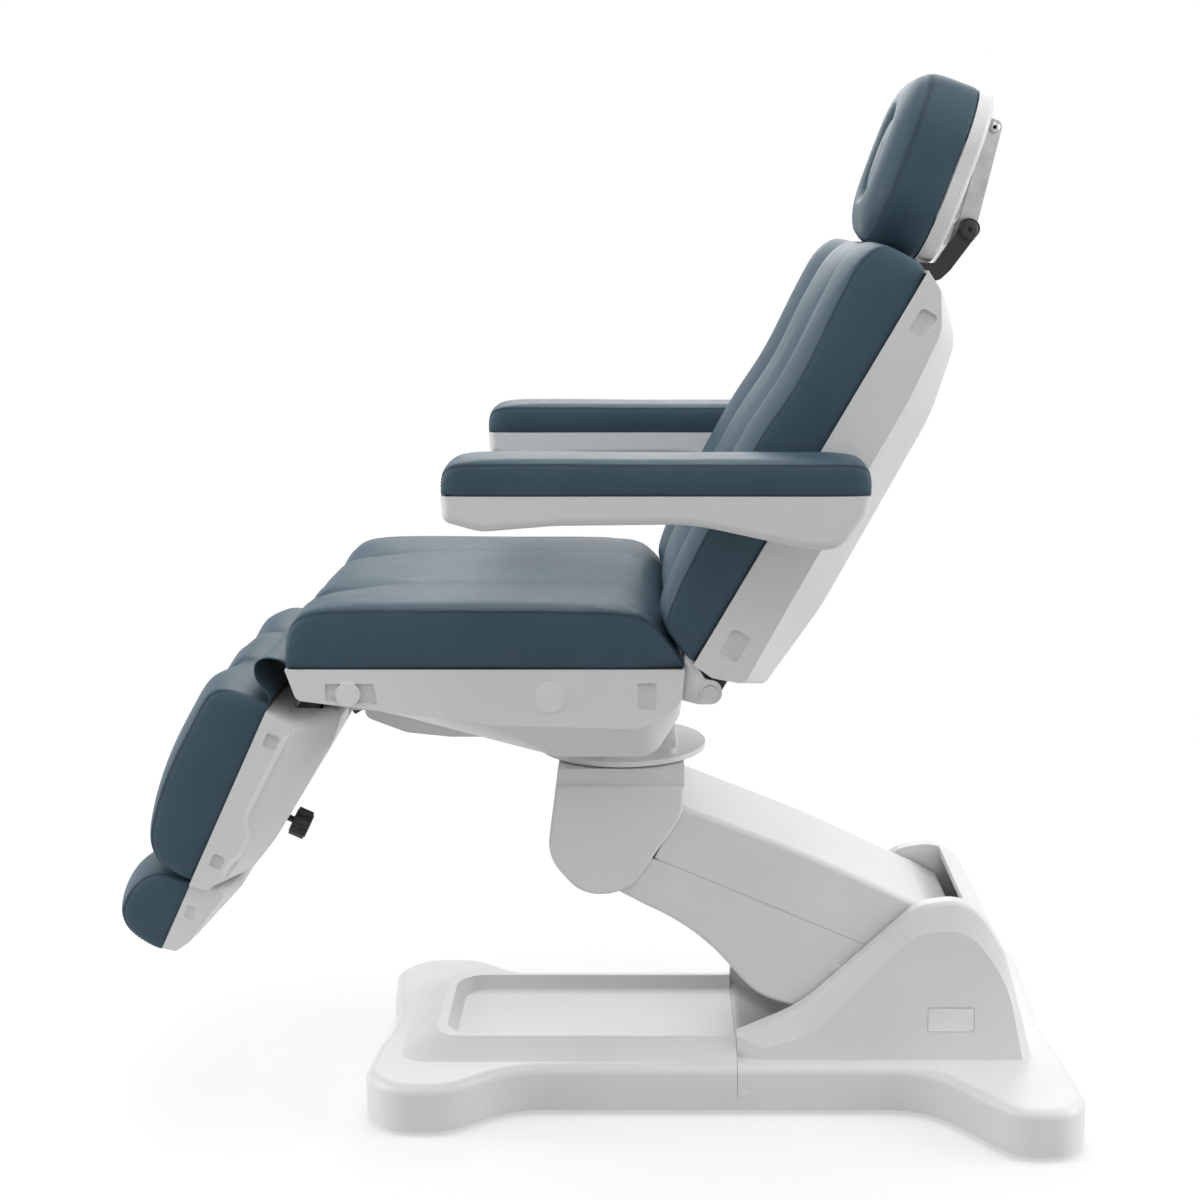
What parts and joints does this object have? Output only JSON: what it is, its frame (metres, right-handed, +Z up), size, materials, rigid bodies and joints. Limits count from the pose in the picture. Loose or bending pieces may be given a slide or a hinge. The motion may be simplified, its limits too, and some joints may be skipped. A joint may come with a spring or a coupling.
{
  "type": "electric treatment table",
  "caption": "Padded treatment table on a lifting, swivelling column, with tilting seat, reclining back, leg rest, foot extension, swing-up armrests and a headrest with a removable face plug.",
  "frame": {"origin": "on the floor, under the middle of the object's bounding box", "axes": "+X towards the head end, +Y towards the sitter's left side, +Z up"},
  "size_m": [1.4317, 0.9, 1.5626],
  "materials": {
    "white_shell": "satin moulded ABS",
    "white_trim": "satin",
    "vinyl": "slate blue vinyl over foam",
    "frame_paint": "black powder coat",
    "white_paint": "white powder coat",
    "steel": "zinc plated",
    "black_plastic": "moulded black",
    "plywood": "raw plywood",
    "foot_rubber": "matte"
  },
  "bodies": {
    "base": {"base_frame": "frame_paint", "lower_pivots": "steel", "base_front_cover": "white_shell", "base_rear_cover": "white_shell", "levelling_feet": "foot_rubber", "control_box": "black_plastic", "power_inlet": "black_plastic", "base_cover_screws": "white_trim"},
    "lift_arm": {"lift_arm_frame": "frame_paint", "arm_upper_cover": "white_shell", "arm_lower_cover": "white_shell", "arm_cover_screws": "white_trim", "lift_actuator": "black_plastic"},
    "lift_rod": {"lift_actuator_rod": "steel"},
    "levelling_link": {"levelling_bar": "frame_paint"},
    "lift_head": {"head_housing": "white_shell", "head_bracket": "frame_paint", "upper_pivots": "steel", "swivel_bearing": "steel"},
    "swivel": {"swivel_plate": "white_paint", "tilt_bracket": "white_paint", "tilt_shaft": "steel"},
    "seat": {"seat_frame": "frame_paint", "seat_board": "plywood", "seat_shell": "white_shell", "seat_side_caps": "white_trim", "underseat_cover": "white_shell", "back_hinge_brackets": "steel", "leg_hinge_brackets": "frame_paint", "tilt_actuator": "black_plastic", "back_actuator": "black_plastic", "leg_actuator": "black_plastic", "seat_cushion": "vinyl"},
    "tilt_rod": {"tilt_actuator_rod": "steel"},
    "back_rod": {"back_actuator_rod": "steel"},
    "leg_rod": {"leg_actuator_rod": "steel"},
    "backrest": {"back_shell": "white_shell", "back_board": "plywood", "back_lever_frame": "frame_paint", "back_cushion": "vinyl", "head_post_sleeve": "black_plastic", "armrest_pivots": "steel"},
    "right_armrest": {"right_arm_shell": "white_shell", "right_arm_pad": "vinyl"},
    "left_armrest": {"left_arm_shell": "white_shell", "left_arm_pad": "vinyl"},
    "head_post": {"headrest_post": "steel"},
    "head_link": {"headrest_link": "steel"},
    "head_lever": {"headrest_lever": "black_plastic"},
    "headrest": {"headrest_shell": "white_shell", "headrest_cushion": "vinyl"},
    "face_plug": {"face_plug": "vinyl"},
    "leg_rest": {"leg_shell": "white_shell", "leg_lever_frame": "frame_paint", "foot_guide": "black_plastic", "leg_cushion": "vinyl"},
    "leg_knob": {"leg_knob": "black_plastic"},
    "foot_extension": {"foot_rods": "steel", "foot_shell": "white_shell", "foot_cushion": "vinyl"}
  },
  "joints": [
    {"name": "lift", "type": "hinge", "parent": "base", "child": "lift_arm", "pos_m": [0.51001, 0, 0.22076], "axis": [0, 1, 0], "range_deg": [-22.5, 10]},
    {"name": "head_level", "type": "hinge", "parent": "lift_arm", "child": "lift_head", "pos_m": [0.008, 0, 0.438], "axis": [0, 1, 0], "range_deg": [-10, 22.5]},
    {"name": "levelling_bar_swing", "type": "hinge", "parent": "base", "child": "levelling_link", "pos_m": [0.52801, 0, 0.26876], "axis": [0, 1, 0], "range_deg": [-22.5, 10]},
    {"name": "lift_rod_travel", "type": "slide", "parent": "lift_arm", "child": "lift_rod", "axis": [0.9178, 0, -0.3971], "range_m": [-0.026, 0.012]},
    {"name": "seat_swivel", "type": "hinge", "parent": "lift_head", "child": "swivel", "pos_m": [0.022, 0, 0.549], "axis": [0, 0, 1], "range_deg": [-120, 120]},
    {"name": "seat_tilt", "type": "hinge", "parent": "swivel", "child": "seat", "pos_m": [0.04, 0, 0.64], "axis": [0, 1, 0], "range_deg": [0, 15]},
    {"name": "tilt_rod_travel", "type": "slide", "parent": "seat", "child": "tilt_rod", "axis": [-1, 0, 0], "range_m": [-0.001, 0.012]},
    {"name": "back_recline", "type": "hinge", "parent": "seat", "child": "backrest", "pos_m": [0.153, 0, 0.684], "axis": [0, 1, 0], "range_deg": [0, 60]},
    {"name": "back_rod_travel", "type": "slide", "parent": "seat", "child": "back_rod", "axis": [-1, 0, 0], "range_m": [-0.001, 0.056]},
    {"name": "leg_raise", "type": "hinge", "parent": "seat", "child": "leg_rest", "pos_m": [-0.418, 0, 0.688], "axis": [0, 1, 0], "range_deg": [0, 65]},
    {"name": "leg_rod_travel", "type": "slide", "parent": "seat", "child": "leg_rod", "axis": [-1, 0, 0], "range_m": [-0.001, 0.078]},
    {"name": "foot_slide", "type": "slide", "parent": "leg_rest", "child": "foot_extension", "axis": [-0.4226, 0, -0.9063], "range_m": [0, 0.15]},
    {"name": "leg_knob_turn", "type": "hinge", "parent": "leg_rest", "child": "leg_knob", "pos_m": [-0.51351, -0.15, 0.48317], "axis": [-0.9063, 0, 0.4226], "range_deg": [-180, 180]},
    {"name": "head_post_slide", "type": "slide", "parent": "backrest", "child": "head_post", "axis": [0.5, 0, 0.866], "range_m": [0, 0.08]},
    {"name": "head_link_swing", "type": "hinge", "parent": "head_post", "child": "head_link", "pos_m": [0.53027, 0, 1.34145], "axis": [0, 1, 0], "range_deg": [0, 40]},
    {"name": "head_lever_swing", "type": "hinge", "parent": "head_post", "child": "head_lever", "pos_m": [0.53027, 0, 1.34145], "axis": [0, -1, 0], "range_deg": [0, 60]},
    {"name": "headrest_tilt", "type": "hinge", "parent": "head_link", "child": "headrest", "pos_m": [0.5668, 0, 1.48796], "axis": [0, 1, 0], "range_deg": [0, 30]},
    {"name": "face_plug_pull", "type": "slide", "parent": "headrest", "child": "face_plug", "axis": [-0.9397, 0, 0.342], "range_m": [0, 0.12]},
    {"name": "right_armrest_swing", "type": "hinge", "parent": "backrest", "child": "right_armrest", "pos_m": [0.29012, -0.39, 0.9615], "axis": [0, 1, 0], "range_deg": [-60, 90]},
    {"name": "left_armrest_swing", "type": "hinge", "parent": "backrest", "child": "left_armrest", "pos_m": [0.29012, 0.39, 0.9615], "axis": [0, 1, 0], "range_deg": [-60, 90]}
  ],
  "couplings": [
    {"joint": "head_level", "follows": "lift", "ratio": -1},
    {"joint": "levelling_bar_swing", "follows": "lift", "ratio": 1},
    {"joint": "lift_rod_travel", "follows": "lift", "m_per_rad": 0.0597},
    {"joint": "tilt_rod_travel", "follows": "seat_tilt", "m_per_rad": 0.0342},
    {"joint": "back_rod_travel", "follows": "back_recline", "m_per_rad": 0.0495},
    {"joint": "leg_rod_travel", "follows": "leg_raise", "m_per_rad": 0.0651}
  ]
}
